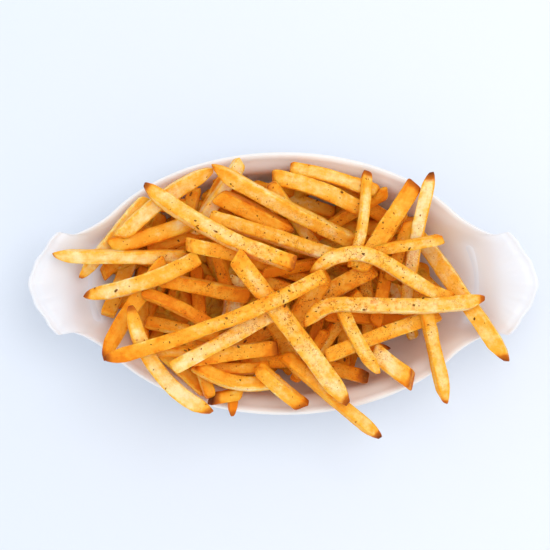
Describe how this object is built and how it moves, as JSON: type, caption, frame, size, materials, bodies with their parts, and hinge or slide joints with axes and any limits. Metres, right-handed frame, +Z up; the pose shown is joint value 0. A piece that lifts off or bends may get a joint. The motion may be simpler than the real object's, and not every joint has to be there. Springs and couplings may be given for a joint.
{
  "type": "french fries portion",
  "caption": "Heaped portion of golden french fries in an oval white dish with two shell-shaped handles.",
  "frame": {"origin": "centre of the flat foot of the dish, on the surface that it stands on", "axes": "+X along the dish from handle to handle, +Y across it, +Z up"},
  "size_m": [0.24, 0.1359, 0.0791],
  "materials": {
    "porcelain": "glossy white glaze",
    "fries": "fried potato, golden with browned tips, slightly oily, dusted with seasoning"
  },
  "bodies": {
    "root": {"dish": "porcelain", "fries": "fries"}
  },
  "joints": []
}
